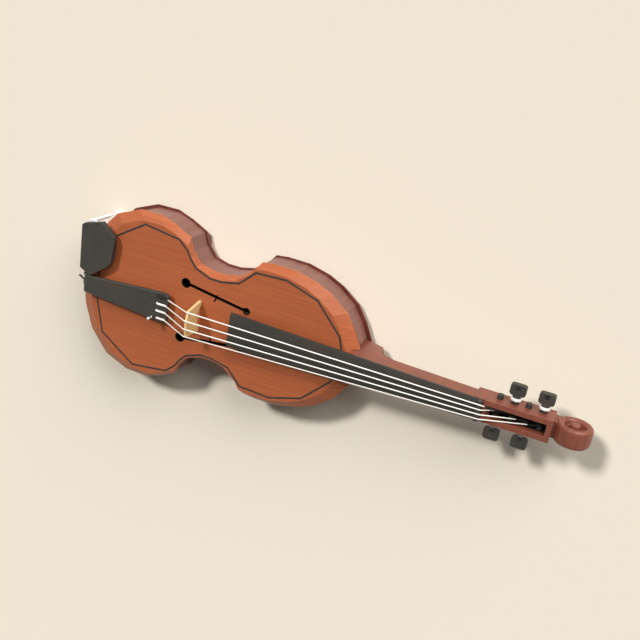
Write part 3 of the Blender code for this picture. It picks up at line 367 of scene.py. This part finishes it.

# %% [markdown]
# The bridge is unvarnished maple cut so that small shiny flecks show on its faces. Its colour is honey, with
# pale cream edges that are partly fresh cuts and partly a painted highlight. Flecks are short across and longer
# along the width of the bridge.

# %% Bridge maple
def bridge_maple(name):
    """Honey maple with darker flecks, and edges paler by fresh cuts and by a painted highlight."""
    finish, tree, shader = start_finish(name, roughness=0.5)
    fleck = clouds(tree, grain_space(tree, (900, 220, 900)), detail=2.0)
    drift = clouds(tree, grain_space(tree, (60, 60, 60)), detail=2.0)
    tone = blend_colours(tree, reach(tree, fleck, 0.55, 0.70), (0.80, 0.55, 0.25), (0.62, 0.38, 0.15))
    tone = blend_colours(tree, reach(tree, drift, 0.4, 0.7, 0.0, 0.3), tone, (0.58, 0.35, 0.13))
    # Pale cream edges: partly fresh cuts, partly a painted highlight.
    tone = blend_colours(tree, edge_wear_and_highlight(tree, 0.0012), tone, (0.93, 0.76, 0.46))
    tree.links.new(tone, shader.inputs["Base Color"])
    relief(tree, shader, fleck, 0.00003, 0.0004)
    return finish


dress(bridge_maple("bridge_maple"), "bridge")
print("bridge dressed")

# %% [markdown]
# Strings are a core wound with fine flat wire, so that along them run hundreds of narrow ridges. A wave
# pattern along the body gives the ridges, and a pale metal gives the creamy shine they have in soft light.
# Where a string goes down to its peg it is wrapped in black silk, and this black is also painted shade on
# the windings in the dark of the pegbox. The silk starts at a height, because only the way to the peg is so low.

# %% Wound strings
# Black where strings go down to the pegs: silk wraps, and painted shade in the pegbox.
SILK_BLACK_AND_PAINTED_SHADE = (0.012, 0.010, 0.010)
SILK_AND_SHADE_BELOW = {"string_c": 0.0785, "string_g": 0.0660, "string_d": 0.0660, "string_a": 0.0660}


def height_mask(tree, start, soft=0.0004):
    """1 below this height on the object, 0 above."""
    parts = add(tree, "SeparateXYZ")
    tree.links.new(add(tree, "TexCoord").outputs["Object"], parts.inputs[0])
    return reach(tree, parts.outputs["Z"], start, start + soft, 1.0, 0.0)


def wound_string(name, silk_and_shade_below):
    """Pale metal with ridges 0.4 mm apart, and dull black below the given height: silk, and painted shade in the
    pegbox.
    """
    finish, tree, shader = start_finish(name, roughness=0.45, metallic=0.1)
    ridges = add(tree, "TexWave", {"Scale": 1.0, "Distortion": 0.0}, bands_direction="X")
    tree.links.new(grain_space(tree, (400, 400, 400)), ridges.inputs["Vector"])
    drift = clouds(tree, grain_space(tree, (90, 300, 300)), detail=2.0)
    tone = blend_colours(tree, ridges.outputs["Fac"], (0.80, 0.77, 0.69), (0.93, 0.91, 0.84))
    tone = blend_colours(tree, reach(tree, drift, 0.5, 0.8, 0.0, 0.3), tone, (0.76, 0.72, 0.63))
    # Black below this height: the silk wrap, which also paints the shade in the pegbox.
    silk_and_shade = height_mask(tree, silk_and_shade_below)
    tone = blend_colours(tree, silk_and_shade, tone, SILK_BLACK_AND_PAINTED_SHADE)
    tree.links.new(tone, shader.inputs["Base Color"])
    satin = reach(tree, drift, 0.3, 0.7, 0.40, 0.52)
    dull = add(tree, "Math", operation="MAXIMUM")
    tree.links.new(satin, dull.inputs[0])
    tree.links.new(silk_and_shade, dull.inputs[1])
    tree.links.new(dull.outputs[0], shader.inputs["Roughness"])
    bump = add(tree, "Bump", {"Strength": 0.4, "Distance": 0.00005})
    tree.links.new(ridges.outputs["Fac"], bump.inputs["Height"])
    tree.links.new(bump.outputs[0], shader.inputs["Normal"])
    return finish


for string, silk_and_shade_below in SILK_AND_SHADE_BELOW.items():
    dress(wound_string("wound_" + string, silk_and_shade_below), string)
print("strings dressed:", len(SILK_AND_SHADE_BELOW))

# %% [markdown]
# The pegs' collars are turned from white bone, the clamp and the fine tuner are plated metal, the tailpiece
# hangs from a black gut loop, and cork keeps the clamp off the varnish. Each is a short graph of its own.
# The clamp's plating is mostly a diffuse white, which is a painted reflection of the bright room.

# %% Bone, plated metal, gut and cork
def turned_bone(name):
    """Warm white with faint turning rings and small pores."""
    finish, tree, shader = start_finish(name, gloss=0.2)
    pores = clouds(tree, grain_space(tree, (700, 2500, 700)), detail=2.0)
    tone = blend_colours(tree, reach(tree, pores, 0.35, 0.65), (0.84, 0.83, 0.79), (0.93, 0.92, 0.89))
    # Edges a touch whiter: partly wear, partly a painted highlight.
    tone = blend_colours(tree, edge_wear_and_highlight(tree, 0.0006), tone, (0.95, 0.94, 0.92))
    tree.links.new(tone, shader.inputs["Base Color"])
    tree.links.new(reach(tree, pores, 0.3, 0.7, 0.38, 0.28), shader.inputs["Roughness"])
    relief(tree, shader, pores, 0.00002, 0.0003)
    return finish


def plated_metal(name, tone, shade, metallic=1.0):
    """Bright plating with fine wiping scratches and small dull patches."""
    finish, tree, shader = start_finish(name, metallic=metallic)
    scratches = clouds(tree, grain_space(tree, (2600, 260, 260)), detail=3.0)
    patches = clouds(tree, grain_space(tree, (120, 120, 120)), detail=2.0)
    colour = blend_colours(tree, reach(tree, patches, 0.35, 0.7), tone, shade)
    tree.links.new(colour, shader.inputs["Base Color"])
    tree.links.new(reach(tree, scratches, 0.3, 0.7, 0.16, 0.30), shader.inputs["Roughness"])
    relief(tree, shader, scratches, 0.000004, 0.0004)
    return finish


def black_gut(name):
    """Twisted black cord: slanting ridges and a waxy sheen."""
    finish, tree, shader = start_finish(name)
    twist = add(tree, "TexWave", {"Scale": 1.0, "Distortion": 1.0}, bands_direction="DIAGONAL")
    tree.links.new(grain_space(tree, (260, 260, 260)), twist.inputs["Vector"])
    tone = blend_colours(tree, twist.outputs["Fac"], (0.020, 0.019, 0.018), (0.055, 0.052, 0.048))
    tree.links.new(tone, shader.inputs["Base Color"])
    tree.links.new(reach(tree, twist.outputs["Fac"], 0.0, 1.0, 0.60, 0.42), shader.inputs["Roughness"])
    relief(tree, shader, twist.outputs["Fac"], 0.00010, 0.0003)
    return finish


def cork(name):
    """Brown grains with dark pits between them."""
    finish, tree, shader = start_finish(name, roughness=0.85)
    grains = add(tree, "TexVoronoi", {"Scale": 1.0})
    tree.links.new(grain_space(tree, (620, 620, 620)), grains.inputs["Vector"])
    pits = reach(tree, grains.outputs["Distance"], 0.15, 0.75)
    tone = blend_colours(tree, pits, (0.56, 0.36, 0.19), (0.20, 0.11, 0.05))
    tree.links.new(tone, shader.inputs["Base Color"])
    relief(tree, shader, pits, -0.00015, 0.0004)
    return finish


COLLARS = ["peg_collar_c", "peg_collar_g", "peg_collar_d", "peg_collar_a"]
CLAMP = ["clamp_bracket", "clamp_foot", "clamp_barrel_1", "clamp_barrel_2"]
dress(turned_bone("turned_bone"), *COLLARS)
# The clamp's plating is mostly a diffuse white that paints its bright reflection.
dress(plated_metal("clamp_plating_painted_reflection", (0.96, 0.96, 0.97), (0.88, 0.88, 0.90), metallic=0.3), *CLAMP)
dress(plated_metal("nickel_tuner", (0.62, 0.61, 0.59), (0.44, 0.43, 0.41)),
      "tuner_body", "tuner_lever", "tuner_screw")
dress(black_gut("black_gut"), "tail_gut")
dress(cork("cork"), "chinrest_cork", "clamp_foot_cork")
print("fittings dressed:", len(COLLARS) + len(CLAMP) + 6)

# %% [markdown]
# The floor is one wide sheet in the photo's cream. It could be a curved backdrop, but the camera looks down
# steeply and sees nothing else, and a level floor suits every other view too.

# %% Floor
FLOOR_CREAM = (0.905, 0.815, 0.672)
FLOOR_GAP = 0.0003
FLOOR_HALF = 8.0

sheet = bmesh.new()
bmesh.ops.create_grid(sheet, x_segments=1, y_segments=1, size=FLOOR_HALF)
bmesh.ops.translate(sheet, verts=sheet.verts, vec=(0, 0, -FLOOR_GAP))
floor_mesh = bpy.data.meshes.new("floor")
sheet.to_mesh(floor_mesh)
sheet.free()
floor = bpy.data.objects.new("floor", floor_mesh)
bpy.context.scene.collection.objects.link(floor)
floor_finish, floor_tree, floor_shader = start_finish("cream_floor", roughness=0.9)
floor_shader.inputs["Base Color"].default_value = (*FLOOR_CREAM, 1)
floor_shader.inputs["Specular IOR Level"].default_value = 0.0
floor_mesh.materials.append(floor_finish)
print("floor at", -FLOOR_GAP)

# %% [markdown]
# Two far lamps light the viola. The first is small and steep, from above the bass side, and gives the clear
# shadow past the treble side. The second is very wide and low, from the scroll's side, and gives the broad
# pale shadow below the body. Lamps near the viola would fade across the floor, so both are suns. The world
# fills in the rest: mirrors and the camera see it in the floor's cream, while it lights the viola plainly.
# Each source is set by its share of full light on the floor, so that colours come out as they are written.

# %% Far lamps and world
KEY_TOWARDS = Vector((-0.40, 0.75, 1.00))
KEY_SHARE = 0.53
KEY_SOFTNESS = 9.0
WIDE_TOWARDS = Vector((0.50, 0.80, 0.40))
WIDE_SHARE = 0.36
WIDE_SOFTNESS = 50.0
FILL = 0.085


def far_lamp(name, towards, share, softness):
    """A sun that gives level ground this share of full light. Softness is its width in degrees."""
    lamp = bpy.data.lights.new(name, "SUN")
    lamp.energy = share * math.pi / towards.normalized().z
    lamp.angle = math.radians(softness)
    holder = bpy.data.objects.new(name, lamp)
    holder.rotation_euler = towards.to_track_quat("Z", "Y").to_euler()
    bpy.context.scene.collection.objects.link(holder)
    return lamp.energy


key_energy = far_lamp("key_sun", KEY_TOWARDS, KEY_SHARE, KEY_SOFTNESS)
wide_energy = far_lamp("wide_sun", WIDE_TOWARDS, WIDE_SHARE, WIDE_SOFTNESS)

world = bpy.data.worlds.new("cream_room")
world.use_nodes = True
bpy.context.scene.world = world
room = world.node_tree
fill = room.nodes["Background"]
fill.inputs["Color"].default_value = (1, 1, 1, 1)
fill.inputs["Strength"].default_value = FILL
seen = add(room, "Background", {"Color": (0.89, 0.81, 0.67, 1), "Strength": 1.0})
rays = add(room, "LightPath")
camera_or_gloss = add(room, "Math", operation="MAXIMUM")
any_seen = add(room, "Math", operation="MAXIMUM")
choose = add(room, "MixShader")
room.links.new(rays.outputs["Is Camera Ray"], camera_or_gloss.inputs[0])
room.links.new(rays.outputs["Is Glossy Ray"], camera_or_gloss.inputs[1])
room.links.new(camera_or_gloss.outputs[0], any_seen.inputs[0])
room.links.new(rays.outputs["Is Transmission Ray"], any_seen.inputs[1])
room.links.new(any_seen.outputs[0], choose.inputs[0])
room.links.new(fill.outputs[0], choose.inputs[1])
room.links.new(seen.outputs[0], choose.inputs[2])
room.links.new(choose.outputs[0], room.nodes["World Output"].inputs["Surface"])
print("suns:", round(key_energy, 2), "and", round(wide_energy, 2), "fill:", FILL)
